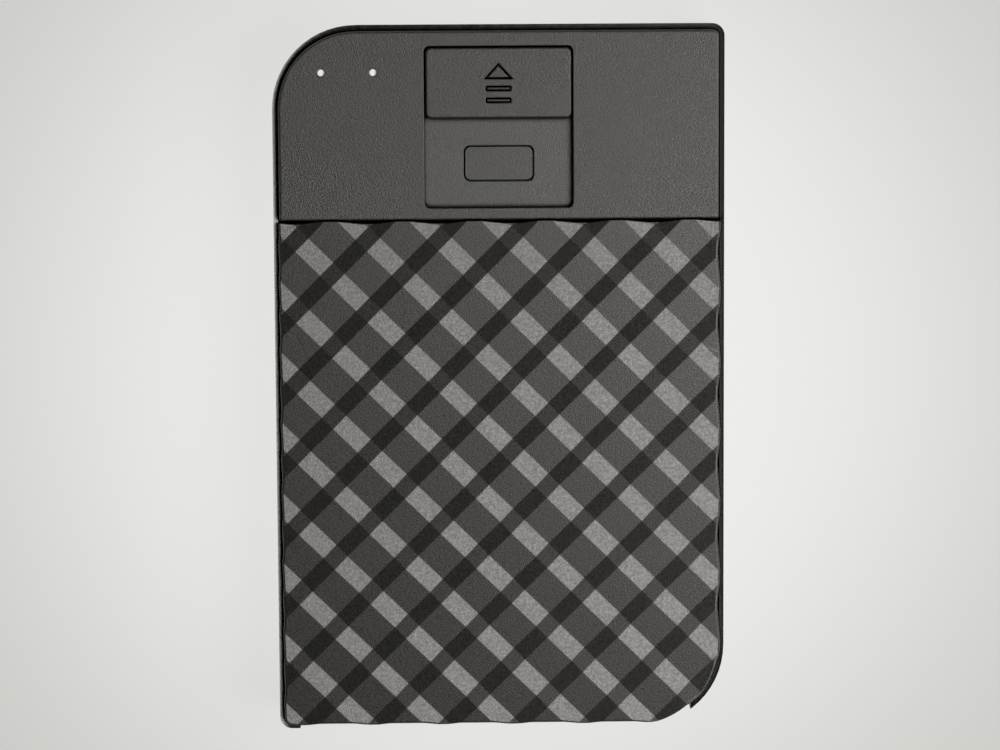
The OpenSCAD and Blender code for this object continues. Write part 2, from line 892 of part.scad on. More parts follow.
module sensor_plate() color(plate_grey) {
    difference() {
        translate([0, (plate_y0 + plate_y1) / 2, plate_z])
            linear_extrude(plate_t)
                round_rect([plate_w, plate_y1 - plate_y0], window_r);
        translate([0, sensor_y, plate_z - overrun])
            linear_extrude(plate_t + 2 * overrun)
                round_rect([sensor_w + slip_gap, sensor_l + slip_gap], sensor_r + hair_gap);
        for (spot = stake_spots())
            translate([spot[0], spot[1], plate_z - overrun])
                cylinder(d = stake_d, h = plate_t + 2 * overrun);
        for (spot = sensor_screw_spots())
            translate([spot[0], spot[1], plate_z - overrun])
                cylinder(d = small_screw_d, h = plate_t / 2 + sink + overrun);
    }
}

module sensor_shutter() color(panel_grey) {
    mid_y = (shutter_y0 + shutter_y1) / 2;
    end_x = shutter_w / 2 - window_r;
    end_y = shutter_l / 2 - window_r;
    difference() {
        union() {
            soft_slab([for (x = [-1, 1]) for (y = [-1, 1]) [x * end_x, mid_y + y * end_y, window_r]],
                shutter_z, shutter_top, 0, shutter_fillet);
            translate([-shutter_w / 2 - tongue_out, shutter_y0 + window_r, shutter_z])
                cube([shutter_w + 2 * tongue_out, shutter_l - 2 * window_r, runner_t]);
        }
        translate([0, shutter_y1 - arrow_in, shutter_top - groove_d])
            linear_extrude(groove_d + overrun)
                difference() {
                    arrow_shape(0);
                    arrow_shape(arrow_line);
                }
        for (drop = [0, bar_gap])
            translate([0, shutter_y1 - bar_in - drop, shutter_top - groove_d])
                linear_extrude(groove_d + overrun)
                    difference() {
                        round_rect([bar_w, bar_l], bar_l * bar_round_share);
                        square([bar_w - 2 * bar_line, bar_l - 2 * bar_line], center = true);
                    }
    }
}

// Triangle that points to the port end, drawn in by a line's width
module arrow_shape(line) {
    slope = atan2(arrow_h, arrow_w / 2);
    tip_drop = line / cos(slope);
    foot_rise = line;
    low = foot_rise - arrow_h;
    half = arrow_w / 2 * (-tip_drop - low) / arrow_h;
    polygon([[0, -tip_drop], [-half, low], [half, low]]);
}

module fingerprint_sensor() color(sensor_black)
    translate([0, sensor_y, plate_z])
        linear_extrude(plate_t - sensor_drop)
            round_rect([sensor_w, sensor_l], sensor_r);

function sensor_screw_spots() = [[sensor_board_x0 + small_screw_in, sensor_board_y0 + sensor_board_l - small_screw_in],
    [sensor_board_x1 - small_screw_in, sensor_board_y0 + small_screw_in]];

module sensor_board() color(board_green)
    difference() {
        translate([sensor_board_x0, sensor_board_y0, sensor_board_z])
            cube([sensor_board_x1 - sensor_board_x0, sensor_board_l, sensor_board_t]);
        for (spot = sensor_screw_spots())
            translate([spot[0], spot[1], sensor_board_z - overrun])
                cylinder(d = small_screw_d, h = sensor_board_t + 2 * overrun);
    }

module sensor_board_screws() color(steel)
    for (spot = sensor_screw_spots())
        translate([spot[0], spot[1], sensor_board_z])
            mirror([0, 0, 1])
                screw(small_screw_d, sensor_board_t + plate_t / 2, small_head_d, small_head_h);

module sensor_ribbon() color(flex_amber)
    translate([ribbon_x - ribbon_w / 2, 0, 0])
        rotate([90, 0, 90])
            linear_extrude(ribbon_w) {
                turn_y = ribbon_y1 - ribbon_bend;
                turn_z = ribbon_z - ribbon_bend;
                low = board_top + connector_size[2];
                translate([ribbon_y0, ribbon_z - ribbon_t / 2])
                    square([turn_y - ribbon_y0, ribbon_t]);
                translate([turn_y, turn_z])
                    ring_sector(ribbon_bend - ribbon_t / 2, ribbon_bend + ribbon_t / 2, 0, 90);
                translate([ribbon_y1 - ribbon_t / 2, low])
                    square([ribbon_t, turn_z - low]);
            }

module ribbon_connectors() color(resin_white) {
    translate([ribbon_x - connector_size[0] / 2, ribbon_y0 - connector_size[1], sensor_board_z - connector_size[2]])
        cube(connector_size);
    translate([ribbon_x - connector_size[0] / 2, ribbon_y1 - connector_size[1] / 2, board_top])
        cube(connector_size);
}

module light_pipes() color(clear_white)
    for (x = led_xs)
        translate([x, led_y, 0]) {
            low = board_top + led_size[2] + led_gap;
            translate([0, 0, low])
                cylinder(d = led_d, h = panel_top - low);
            translate([0, 0, panel_z - led_flange_h])
                cylinder(d = led_flange_d, h = led_flange_h);
        }

module status_leds() color(clear_white)
    for (x = led_xs)
        translate([x - led_size[0] / 2, led_y - led_size[1] / 2, board_top])
            cube(led_size);

// Feet, screws and bumpers

function foot_spots() = [[-foot_x, foot_y], [foot_x, foot_y],
    [-far_foot_left_x, -far_foot_y], [far_foot_right_x, -far_foot_y]];

module rubber_feet() color(rubber_black)
    for (spot = foot_spots())
        translate([spot[0], spot[1], 0])
            rotate_extrude()
                polygon([[0, 0], [foot_d / 2 - foot_edge, 0], [foot_d / 2, foot_edge], [foot_d / 2, seat_z], [0, seat_z]]);

module case_screws() color(steel)
    both_sides()
        translate([screw_x, screw_y, head_z + head_h])
            mirror([0, 0, 1])
                screw(case_screw_d, boss_split_z + screw_grip - head_z - head_h, head_d, head_h);

module drive_bumpers() color(rubber_black)
    both_sides()
        for (y = bumper_ins)
            translate([0, drive_y + y + bumper_l / 2, 0])
                rotate([90, 0, 0])
                    linear_extrude(bumper_l)
                        difference() {
                            translate([drive_w / 2 - bumper_lap, floor_z])
                                square([half_w - wall_t - drive_w / 2 + bumper_lap, drive_top + bumper_top - floor_z]);
                            translate([drive_w / 2 - bumper_lap - overrun, drive_z])
                                square([bumper_lap + overrun, drive_h]);
                        }

module foam_pad() color(foam_grey)
    translate([-foam_size[0] / 2, drive_y + foam_in, drive_top])
        cube([foam_size[0], foam_size[1], cover_under_z - drive_top]);

// Bridge board and port

module bridge_board() color(board_green)
    difference() {
        translate([0, 0, board_z])
            linear_extrude(board_t)
                intersection() {
                    case_outline(wall_t + board_wall_gap);
                    translate([-board_x, board_y0])
                        square([2 * board_x, board_y1 - board_y0]);
                }
        translate([connector_x0 - slip_gap, board_y0 - overrun, board_z - overrun])
            cube([connector_w + 2 * slip_gap, socket_y0 + socket_l + slip_gap - board_y0 + overrun, board_t + 2 * overrun]);
        for (spot = bridge_spots())
            translate([spot[0], spot[1], board_z - overrun])
                cylinder(d = board_screw_d, h = board_t + 2 * overrun);
    }

module board_screws() color(steel)
    for (spot = bridge_spots())
        translate([spot[0], spot[1], board_top])
            screw(board_screw_d, board_screw_l, board_head_d, board_head_h);

module usb_shell() color(steel)
    translate([0, usb_y1 - usb_l, usb_z])
        difference() {
            stadium(usb_w, usb_h, usb_l);
            translate([0, usb_wall, 0])
                stadium(usb_w - 2 * usb_wall, usb_h - 2 * usb_wall, usb_l);
        }

module usb_tongue() color(chip_black)
    translate([0, usb_y1 - usb_l + usb_wall, usb_z]) {
        stadium(usb_w - 2 * usb_wall, usb_h - 2 * usb_wall, blade_back);
        translate([-blade_w / 2, 0, -blade_h / 2])
            cube([blade_w, usb_l - usb_wall - blade_short, blade_h]);
    }

module sata_socket() color(chip_black)
    difference() {
        union() {
            translate([connector_x0, socket_y0, socket_z])
                cube([connector_w, socket_l, socket_h]);
            translate([connector_x0, socket_y0, board_top])
                cube([connector_w, socket_l + socket_shelf, socket_z + socket_h - board_top]);
        }
        translate([connector_x0 + socket_wall, socket_y0 - overrun, drive_z + tongue_drop - slip_gap])
            cube([connector_w - 2 * socket_wall, blade_l + slip_gap + overrun, blade_t + 2 * slip_gap]);
    }

module board_chips() color(chip_black) {
    for (c = right_chips)
        translate([half_w - c[0] - c[2] / 2, half_l - wall_t - c[1] - c[3] / 2, board_top])
            cube([c[2], c[3], c[4]]);
    for (c = left_chips)
        translate([c[0] - half_w - c[2] / 2, half_l - wall_t - c[1] - c[3] / 2, board_top])
            cube([c[2], c[3], c[4]]);
    for (i = [0 : cap_n - 1])
        translate([cap_x + i * cap_step, half_l - wall_t - cap_in, board_top])
            cube(cap_size);
}

// Disk drive

module in_drive() translate([0, drive_y, drive_z]) children();
module at_spindle() in_drive() translate([0, spindle_in, 0]) children();
module at_pivot() in_drive() translate([pivot_x, pivot_in, 0]) children();

module drive_outline() {
    translate([0, drive_l / 2])
        round_rect([drive_w, drive_l], drive_corner_r);
}

module cavity_outline(grow) {
    translate([0, spindle_in])
        circle(r = cavity_r + grow, $fn = 96);
    translate([(bay_left + bay_right) / 2, (bay_low + bay_high) / 2])
        round_rect([bay_right - bay_left + 2 * grow, bay_high - bay_low + 2 * grow], bay_r + grow);
}

module drive_base() color(alloy) in_drive()
    difference() {
        linear_extrude(wall_top)
            drive_outline();
        translate([0, 0, deck_z])
            linear_extrude(drive_h)
                cavity_outline(0);
        difference() {
            translate([recess_side - drive_w / 2, recess_y0, -overrun])
                cube([drive_w - 2 * recess_side, recess_y1 - recess_y0 + sink, web_z + overrun]);
            for (spot = board_screw_spots)
                translate([spot[0], spot[1], drive_board_z + drive_board_t])
                    cylinder(r = board_boss_r, h = drive_h);
        }
        translate([connector_x0 - slip_gap, recess_y1, -overrun])
            cube([connector_w + 2 * slip_gap, connector_l + overrun, connector_h + slip_gap + overrun]);
        translate([0, spindle_in, -overrun])
            cylinder(r = shaft_r, h = drive_h);
        for (spot = board_screw_spots)
            translate([spot[0], spot[1], drive_board_z])
                cylinder(d = lid_screw_d, h = web_z + web_t / 2 - drive_board_z);
        for (spot = lid_spots)
            if (spot[0] != pivot_x)
                translate([spot[0], spot[1], lid_z - lid_screw_l])
                    cylinder(d = lid_screw_d, h = drive_h);
    }

module lid_gasket() color(rubber_black) in_drive()
    translate([0, 0, wall_top])
        linear_extrude(gasket_t)
            difference() {
                cavity_outline(gasket_in + gasket_w);
                cavity_outline(gasket_in);
            }

// Pressed lid, with a shallow dish over the disks
module drive_lid() color(steel) in_drive()
    difference() {
        translate([0, 0, lid_z])
            linear_extrude(lid_t)
                drive_outline();
        translate([0, spindle_in, drive_h - dish_d])
            cylinder(r = disk_r * dish_r_share, h = overrun);
        for (spot = lid_spots)
            translate([spot[0], spot[1], lid_z - overrun])
                cylinder(d = lid_screw_d, h = lid_t + 2 * overrun);
    }

module lid_screws() color(steel) in_drive()
    for (spot = lid_spots)
        translate([spot[0], spot[1], drive_h])
            screw(lid_screw_d, lid_screw_l, lid_head_d, lid_head_h);

module spindle_shaft() color(steel) at_spindle()
    translate([0, 0, web_z])
        cylinder(r = shaft_r, h = shaft_top - web_z);

module motor_stator() color(copper) at_spindle() {
    outer_r = hub_cup_r - stator_gap;
    low = deck_z + web_t / 2;
    high = stack_top - hub_web_t - stator_gap;
    bore_r = sleeve_r + stator_gap;
    translate([0, 0, deck_z])
        linear_extrude(high - deck_z)
            difference() {
                circle(r = stator_hub_r);
                circle(r = bore_r);
            }
    for (i = [0 : stator_teeth - 1])
        rotate(i * 360 / stator_teeth) {
            translate([stator_hub_r - sink, -tooth_w / 2, low])
                cube([outer_r - shoe_t - stator_hub_r + 2 * sink, tooth_w, high - low]);
            translate([outer_r - shoe_t - sink, -shoe_w / 2, low])
                cube([shoe_t, shoe_w, high - low]);
        }
}

module spindle_hub() color(alloy) at_spindle() {
    low = deck_z + run_gap;
    bore_r = shaft_r + bearing_gap;
    cup_z = stack_top - hub_web_t;
    rotate_extrude()
        polygon([[bore_r, low], [sleeve_r, low], [sleeve_r, cup_z], [hub_cup_r, cup_z], [hub_cup_r, low],
            [hub_skirt_r, low], [hub_skirt_r, disk_z - hub_flange_t], [rest_r, disk_z - hub_flange_t],
            [rest_r, disk_z], [disk_bore_r, disk_z], [disk_bore_r, stack_top], [bore_r, stack_top]]);
}

module platter(z) {
    at_spindle()
        translate([0, 0, z])
            difference() {
                cylinder(r = disk_r, h = disk_t, $fn = 128);
                translate([0, 0, -overrun])
                    cylinder(r = disk_bore_r, h = disk_t + 2 * overrun);
            }
}

module lower_platter() color(steel) platter(disk_z);
module upper_platter() color(steel) platter(disk_top_z);

module platter_spacer() color(alloy) at_spindle()
    translate([0, 0, disk_z + disk_t])
        difference() {
            cylinder(r = rest_r, h = disk_step - disk_t);
            translate([0, 0, -overrun])
                cylinder(r = disk_bore_r, h = disk_step + overrun);
        }

function clamp_angles() = [for (i = [0 : clamp_screws_n - 1]) i * 360 / clamp_screws_n];

module disk_clamp() color(steel) at_spindle()
    translate([0, 0, stack_top])
        difference() {
            cylinder(r = rest_r, h = clamp_t);
            translate([0, 0, -overrun])
                cylinder(r = clamp_bore_r, h = clamp_t + 2 * overrun);
            for (a = clamp_angles())
                rotate(a)
                    translate([clamp_screw_r, 0, -overrun])
                        cylinder(d = lid_screw_d, h = clamp_t + 2 * overrun);
        }

module clamp_screws() color(steel) at_spindle()
    for (a = clamp_angles())
        rotate(a)
            translate([clamp_screw_r, 0, stack_top + clamp_t])
                screw(lid_screw_d, clamp_t, lid_head_d, clamp_head_h);

module pivot_post() color(steel) at_pivot()
    translate([0, 0, deck_z])
        difference() {
            cylinder(r = post_r, h = lid_z - deck_z);
            translate([0, 0, lid_z - deck_z - lid_screw_l])
                cylinder(d = lid_screw_d, h = drive_h);
        }

arm_levels = [[block_z, disk_z - head_gap],
    [disk_z + disk_t + head_gap, disk_top_z - head_gap],
    [stack_top + head_gap, block_top]];
arm_end = arm_l * arm_end_share;

module actuator_arms() color(alloy) at_pivot() rotate(park_a)
    difference() {
        union() {
            translate([0, 0, block_z])
                cylinder(r = block_r, h = block_top - block_z);
            for (level = arm_levels)
                translate([0, 0, level[0]])
                    linear_extrude(level[1] - level[0])
                        arm_shape();
            for (side = [-1, 1])
                translate([0, 0, coil_z])
                    linear_extrude(coil_t)
                        ring_sector(block_r - sink, prong_out_r, 180 + side * (coil_half_a + prong_a / 2) - prong_a / 2,
                            180 + side * (coil_half_a + prong_a / 2) + prong_a / 2);
        }
        translate([0, 0, -overrun])
            cylinder(r = post_r + post_gap, h = drive_h + 2 * overrun);
    }

module arm_shape() {
    hole_share = 0.55;
    difference() {
        union() {
            polygon([[0, -arm_root_w / 2], [arm_end, -arm_tip_w / 2], [arm_end, arm_tip_w / 2], [0, arm_root_w / 2]]);
            translate([arm_end, 0])
                circle(d = arm_tip_w);
        }
        translate([arm_end * hole_share, 0])
            circle(d = arm_tip_w * hole_share);
    }
}

module voice_coil() color(copper) at_pivot() rotate(park_a + 180)
    translate([0, 0, coil_z])
        linear_extrude(coil_t)
            difference() {
                ring_sector(block_r, coil_out_r, -coil_half_a, coil_half_a);
                ring_sector(coil_hole_in_r, coil_hole_out_r, -coil_hole_a, coil_hole_a);
            }

// Four spring plates, each with its slider and the lift tab that parks on the ramp
head_faces = [[disk_z, -1], [disk_z + disk_t, 1], [disk_top_z, -1], [stack_top, 1]];
module head_gimbals() color(steel) at_pivot() rotate(park_a)
    for (face = head_faces) {
        near = face[0] + face[1] * (fly_gap + slider_h);
        low = min(near, near + face[1] * plate_spring_t);
        start = arm_l * spring_start_share;
        translate([0, 0, low])
            linear_extrude(plate_spring_t)
                polygon([[start, -spring_root_w / 2], [arm_l + slider_l / 2, -spring_tip_w / 2],
                    [arm_l + tab_l, -spring_tip_w / 4], [arm_l + tab_l, spring_tip_w / 4],
                    [arm_l + slider_l / 2, spring_tip_w / 2], [start, spring_root_w / 2]]);
        translate([arm_l - slider_l / 2, -slider_w / 2, min(face[0] + face[1] * fly_gap, near)])
            cube([slider_l, slider_w, slider_h]);
    }

module yoke_plate(z, t) {
    translate([0, 0, z])
        linear_extrude(t) {
            ring_sector(yoke_in_r, yoke_out_r, yoke_a0, yoke_a1);
            for (a = pillar_as)
                translate([pillar_ring_r * cos(a), pillar_ring_r * sin(a)])
                    circle(r = pillar_r);
        }
}

module lower_yoke() color(steel) at_pivot() {
    yoke_plate(deck_z, yoke_t);
    for (a = pillar_as)
        translate([pillar_ring_r * cos(a), pillar_ring_r * sin(a), deck_z])
            cylinder(r = pillar_r, h = upper_yoke_z - deck_z);
}

module upper_yoke() color(steel) at_pivot()
    yoke_plate(upper_yoke_z, yoke_t);

module voice_coil_magnets() color(magnet_grey) at_pivot() {
    lower_z = deck_z + yoke_t;
    upper_z = coil_z + coil_t + magnet_gap;
    translate([0, 0, lower_z])
        linear_extrude(coil_z - magnet_gap - lower_z)
            ring_sector(yoke_in_r + overrun, yoke_out_r - overrun, yoke_a0 + overrun, yoke_a1 - overrun);
    translate([0, 0, upper_z])
        linear_extrude(upper_yoke_z - upper_z)
            ring_sector(yoke_in_r + overrun, yoke_out_r - overrun, yoke_a0 + overrun, yoke_a1 - overrun);
}

module load_ramp() color(resin_white) at_pivot() {
    near = fly_gap + slider_h - ramp_gap;
    for (z = [disk_z, disk_top_z])
        translate([0, 0, z - near])
            linear_extrude(disk_t + 2 * near)
                ring_sector(ramp_in_r, ramp_out_r, ramp_a0, ramp_a1);
    translate([0, 0, deck_z])
        linear_extrude(stack_top + near - deck_z)
            ring_sector(ramp_wall_r, ramp_out_r, ramp_a0, ramp_a1);
}

module air_filter() color(resin_white) in_drive()
    translate([filter_x, filter_y, deck_z])
        cube(filter_size);

module drive_board() color(board_green) in_drive()
    difference() {
        translate([recess_side + slip_gap - drive_w / 2, recess_y0 + slip_gap, drive_board_z])
            cube([drive_w - 2 * recess_side - 2 * slip_gap, recess_y1 - recess_y0 - slip_gap, drive_board_t]);
        for (spot = board_screw_spots)
            translate([spot[0], spot[1], drive_board_z - overrun])
                cylinder(d = lid_screw_d, h = drive_board_t + 2 * overrun);
    }

module drive_board_screws() color(steel) in_drive()
    for (spot = board_screw_spots)
        translate([spot[0], spot[1], drive_board_z])
            mirror([0, 0, 1])
                screw(lid_screw_d, web_z + web_t / 2 - drive_board_z, lid_head_d, lid_head_h);

drive_chip_spots = [[0, 62, 12, 12, 0.5], [-16, 66, 9, 7, 0.5], [15, 70, 8, 8, 0.5], [-12, 82, 6, 5, 0.4]];
module drive_chips() color(chip_black) in_drive()
    for (c = drive_chip_spots)
        translate([c[0] - c[2] / 2, c[1] - c[3] / 2, drive_board_z + drive_board_t])
            cube([c[2], c[3], c[4]]);

// The drive's connector: a block with two blades that enter the socket
module drive_connector() color(chip_black) in_drive() {
    blade_span = connector_w - 2 * (socket_wall + slip_gap);
    short_l = blade_span * blade_key_share;
    translate([connector_x0, recess_y1, 0])
        cube([connector_w, connector_l, connector_h]);
    translate([connector_x0 + socket_wall + slip_gap, drive_l - sink, tongue_drop])
        cube([short_l, blade_l + sink, blade_t]);
    translate([connector_x0 + socket_wall + slip_gap + short_l + blade_key_gap, drive_l - sink, tongue_drop])
        cube([blade_span - short_l - blade_key_gap, blade_l + sink, blade_t]);
}

base_tray();
pattern_cover();
control_panel();
sensor_plate();
sensor_shutter();
fingerprint_sensor();
sensor_board();
sensor_board_screws();
sensor_ribbon();
light_pipes();
status_leds();
rubber_feet();
case_screws();
drive_bumpers();
foam_pad();
bridge_board();
usb_shell();
usb_tongue();
sata_socket();
board_chips();
board_screws();
ribbon_connectors();
drive_base();
drive_lid();
lid_screws();
lid_gasket();
spindle_shaft();
motor_stator();
spindle_hub();
lower_platter();
platter_spacer();
upper_platter();
disk_clamp();
clamp_screws();
pivot_post();
actuator_arms();
voice_coil();
head_gimbals();
lower_yoke();
upper_yoke();
voice_coil_magnets();
load_ramp();
air_filter();
drive_board();
drive_connector();
drive_board_screws();
drive_chips();
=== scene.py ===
import math

import bmesh
import bpy
from mathutils import Matrix, Vector


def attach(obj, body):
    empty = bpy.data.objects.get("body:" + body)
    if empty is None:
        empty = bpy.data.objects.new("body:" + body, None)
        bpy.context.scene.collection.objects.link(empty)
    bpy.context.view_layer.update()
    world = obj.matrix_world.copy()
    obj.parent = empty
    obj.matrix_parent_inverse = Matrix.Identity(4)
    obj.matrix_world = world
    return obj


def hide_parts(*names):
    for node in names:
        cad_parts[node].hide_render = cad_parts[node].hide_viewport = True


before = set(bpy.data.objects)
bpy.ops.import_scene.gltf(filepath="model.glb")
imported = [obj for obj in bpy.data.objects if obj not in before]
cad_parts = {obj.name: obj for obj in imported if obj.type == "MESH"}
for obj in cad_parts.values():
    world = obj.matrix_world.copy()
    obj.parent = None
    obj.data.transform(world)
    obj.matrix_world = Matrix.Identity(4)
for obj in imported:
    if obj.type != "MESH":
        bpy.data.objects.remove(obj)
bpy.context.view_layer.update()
MM = 0.001


# The camera stands high over the port end and looks straight down on the case

SENSOR_WIDTH = 36
CAMERA_PLACE = Vector((-6.14, 63.5, 580)) * MM
CAMERA_AIM = Vector((0, 0.83, 16.8)) * MM
CAMERA_ROLL = math.radians(-0.327)
CAMERA_LENS = 115.85


def make_camera():
    camera = bpy.data.objects.new("camera", bpy.data.cameras.new("camera"))
    bpy.context.scene.collection.objects.link(camera)
    ahead = (CAMERA_AIM - CAMERA_PLACE).normalized()
    right = ahead.cross(Vector((0, 1, 0))).normalized()
    up = right.cross(ahead)
    turn = Matrix((right, up, -ahead)).transposed() @ Matrix.Rotation(CAMERA_ROLL, 3, "Z")
    camera.matrix_world = Matrix.Translation(CAMERA_PLACE) @ turn.to_4x4()
    camera.data.sensor_width = SENSOR_WIDTH
    camera.data.lens = CAMERA_LENS
    camera.data.clip_start = 10 * MM
    camera.data.clip_end = 10
    bpy.context.scene.camera = camera


# Shader arithmetic: a Shade is one socket of a Paint's node tree

GROOVE_SKY = 0.42
OPEN_SKY = 0.88


class Shade:
    """A value that varies over a surface, with the operators that the finishes use."""

    def __init__(self, paint, socket):
        self.paint = paint
        self.socket = socket

    def maths(self, operation, *values):
        return self.paint.node("ShaderNodeMath", {"operation": operation}, dict(enumerate(values)))

    def __add__(self, other):
        return self.maths("ADD", self, other)

    def __sub__(self, other):
        return self.maths("SUBTRACT", self, other)

    def __rsub__(self, other):
        return self.maths("SUBTRACT", other, self)

    def __mul__(self, other):
        return self.maths("MULTIPLY", self, other)

    def fade(self, low, high):
        """0 below low, 1 above high and smooth between."""
        return self.paint.node("ShaderNodeMapRange", {"interpolation_type": "SMOOTHSTEP"},
                               {"Value": self, "From Min": low, "From Max": high})

    __radd__ = __add__


class Paint:
    """One material in the making: its nodes, its shader and where on the part it lies."""

    def __init__(self, name):
        self.material = bpy.data.materials.new(name)
        self.material.use_nodes = True
        self.tree = self.material.node_tree
        self.shader = self.tree.nodes["Principled BSDF"]
        self.place = self.node("ShaderNodeTexCoord", output="Object")

    def node(self, kind, settings=None, inputs=None, output=0):
        made = self.tree.nodes.new(kind)
        for name, value in (settings or {}).items():
            setattr(made, name, value)
        for name, value in (inputs or {}).items():
            self.feed(made.inputs[name], value)
        return Shade(self, made.outputs[output])

    def feed(self, socket, value):
        if isinstance(value, Shade):
            self.tree.links.new(value.socket, socket)
        elif isinstance(value, tuple) and len(value) == 3 and socket.type == "RGBA":
            socket.default_value = (*value, 1)
        else:
            socket.default_value = value

    def set(self, **values):
        for name, value in values.items():
            self.feed(self.shader.inputs[name.replace("_", " ")], value)

    def noise(self, size, detail=2, rough=0.5, stretch=(1, 1, 1)):
        """Cloudy noise whose blotches are about `size` millimetres across."""
        place = self.node("ShaderNodeVectorMath", {"operation": "MULTIPLY"}, {0: self.place, 1: stretch})
        return self.node("ShaderNodeTexNoise", None, {"Vector": place, "Scale": 1 / (size * MM),
                                                      "Detail": detail, "Roughness": rough})

    def cells(self, size):
        """Distance to the middle of rounded cells about `size` millimetres across."""
        return self.node("ShaderNodeTexVoronoi", None, {"Vector": self.place, "Scale": 1 / (size * MM)})

    def blend(self, share, low, high):
        """One colour or the other by a share."""
        return self.node("ShaderNodeMix", {"data_type": "RGBA"}, {0: share, 6: low, 7: high}, output=2)

    def tint(self, colour, by):
        """A colour times another."""
        return self.node("ShaderNodeVectorMath", {"operation": "MULTIPLY"}, {0: colour, 1: by})

    def clear_of_painted_shade(self, reach):
        """1 on open faces, falling to 0 down in grooves and gaps about `reach` millimetres deep, where the
        finishes paint shade.
        """
        sky = self.node("ShaderNodeAmbientOcclusion", {"samples": 8}, {"Distance": reach * MM}, output="AO")
        return sky.fade(GROOVE_SKY, OPEN_SKY)

    def rounded(self, radius):
        """The surface's normal with its edges rounded off."""
        return self.node("ShaderNodeBevel", {"samples": 6}, {"Radius": radius * MM})

    def bumps(self, *layers, normal=None):
        """Bump layers, each a height and its depth in millimetres, one on the other."""
        for height, depth in layers:
            inputs = {"Height": height, "Distance": depth * MM, "Strength": 1}
            if normal:
                inputs["Normal"] = normal
            normal = self.node("ShaderNodeBump", None, inputs)
        self.set(Normal=normal)


def vary(middle, *layers):
    """A middle value that noise layers move up and down, each with its full width."""
    for noise, width in layers:
        middle = (noise - 0.5) * width + middle
    return middle


def grey(level, warmth=0):
    """A neutral colour by its linear level, a little warm where asked."""
    return (level * (1 + warmth), level, level * (1 - warmth))


# Finishes

CLOUD_SIZE = 18
CLOUD_SPREAD = 0.05
POLISH_GRAIN_SHARE = 2.2
POLISH_DEPTH_SHARE = 0.15
POLISH_SPREAD = 0.3
TONE_SPREAD = 0.3
PLASTIC_WARMTH = 0.02
PLASTIC_SHEEN = 1.0

def moulded_plastic(name, level, roughness, grain=0.3, depth=0.014, edge=0.2, reach=0.8):
    """Matt moulded plastic: fine grain, faint clouds, softened edges, and painted shade that blackens
    grooves and gaps.
    """
    paint = Paint(name)
    fine = paint.noise(grain, 3, 0.6)
    clouds = paint.noise(CLOUD_SIZE, 3)
    polish = paint.noise(grain * POLISH_GRAIN_SHARE, 2)
    clear_of_painted_shade = paint.clear_of_painted_shade(reach)
    tone = paint.blend(fine * 0.5 + clouds * 0.5, grey(level * (1 - TONE_SPREAD), PLASTIC_WARMTH),
                       grey(level * (1 + TONE_SPREAD), PLASTIC_WARMTH))
    worn = vary(roughness, (polish, POLISH_SPREAD), (clouds, CLOUD_SPREAD))
    # Painted shade: grooves and gaps get a black base colour, and Metallic with no colour takes the shine
    # off too, which leaves them black
    paint.set(Base_Color=paint.blend(clear_of_painted_shade, grey(0), tone), Metallic=1 - clear_of_painted_shade,
              Roughness=1 - clear_of_painted_shade * (1 - worn), Specular_IOR_Level=PLASTIC_SHEEN)
    paint.bumps((fine, depth), (polish, depth * POLISH_DEPTH_SHARE), normal=paint.rounded(edge))
    return paint.material


def soft_rubber(name, level):
    """Matt rubber with a chalky bloom."""
    paint = Paint(name)
    bloom = paint.noise(3, 4, 0.65)
    pores = paint.noise(0.25, 2)
    paint.set(Base_Color=paint.blend(bloom.fade(0.4, 0.75), grey(level), grey(level * 1.9)),
              Roughness=vary(0.82, (bloom, 0.1)))
    paint.bumps((pores, 0.01))
    return paint.material


def worked_metal(name, colour, roughness, stretch=(1, 1, 1), depth=0.003):
    """Bare metal with tool marks along one way and a light tarnish."""
    paint = Paint(name)
    marks = paint.noise(0.5, 3, 0.6, stretch)
    tarnish = paint.noise(7, 4, 0.6)
    dull = tuple(c * 0.78 for c in colour)
    paint.set(Base_Color=paint.blend(tarnish.fade(0.3, 0.8), colour, dull), Metallic=1.0,
              Roughness=vary(roughness, (marks, 0.16), (tarnish, 0.1)))
    paint.bumps((marks, depth))
    return paint.material


def circuit_board(name, colour):
    """Solder mask over a faint weave, with copper tracks just under it."""
    paint = Paint(name)
    weave = paint.noise(0.4, 2, 0.5, (1, 0.4, 1))
    tracks = paint.cells(1.8).fade(0.28, 0.34)
    dark = tuple(c * 0.6 for c in colour)
    paint.set(Base_Color=paint.blend(tracks, dark, colour), Roughness=vary(0.32, (weave, 0.2)),
              Coat_Weight=0.3)
    paint.bumps((weave, 0.006), (tracks, 0.02))
    return paint.material


def chip_resin(name, level):
    """Black moulded epoxy."""
    paint = Paint(name)
    grain = paint.noise(0.12, 3, 0.7)
    paint.set(Base_Color=paint.blend(grain, grey(level * 0.7), grey(level * 1.4)),
              Roughness=vary(0.62, (grain, 0.2)))
    paint.bumps((grain, 0.004))
    return paint.material


def light_guide(name):
    """Milky clear plastic of the light pipes, faintly clouded, with a faint painted glow."""
    paint = Paint(name)
    cloud = paint.noise(0.6, 3, 0.6)
    colour = paint.blend(cloud, (0.75, 0.76, 0.76), (0.93, 0.94, 0.94))
    # The emission is a painted glow, not a lamp
    paint.set(Base_Color=colour, Roughness=vary(0.35, (cloud, 0.1)), Emission_Color=colour,
              Emission_Strength=0.12)
    paint.bumps((cloud, 0.01))
    return paint.material


def wound_copper(name):
    """Enamelled wire, turn beside turn."""
    paint = Paint(name)
    turns = paint.noise(0.35, 2, 0.5, (0.15, 0.15, 1))
    shade = paint.noise(2.5, 3)
    paint.set(Base_Color=paint.blend(shade, (0.42, 0.13, 0.045), (0.62, 0.24, 0.09)), Metallic=0.85,
              Roughness=vary(0.34, (turns, 0.2)))
    paint.bumps((turns, 0.03))
    return paint.material


